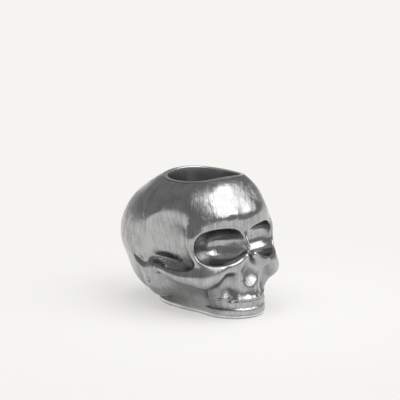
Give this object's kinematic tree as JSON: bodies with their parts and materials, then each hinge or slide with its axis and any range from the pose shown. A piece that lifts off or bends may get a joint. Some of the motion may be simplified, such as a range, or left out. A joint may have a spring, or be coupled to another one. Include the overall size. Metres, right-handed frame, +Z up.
{
  "type": "skull-shaped votive holder",
  "caption": "Heavy crystal glass votive holder with a silver mirror film, shaped as a skull without its lower jaw, with a candle well in the top of its vault.",
  "frame": {"origin": "middle of the foot's flat underside, on the plane of symmetry, on the surface that it stands on", "axes": "+Z up through the candle mouth, -Y the way the face looks, +X to the face's own left"},
  "size_m": [0.0792, 0.11, 0.083],
  "materials": {
    "silvered_glass": "fire-polished crystal glass under an opaque silver mirror film, with faint chill wrinkles"
  },
  "bodies": {
    "root": {"skull_votive": "silvered_glass"}
  },
  "joints": []
}
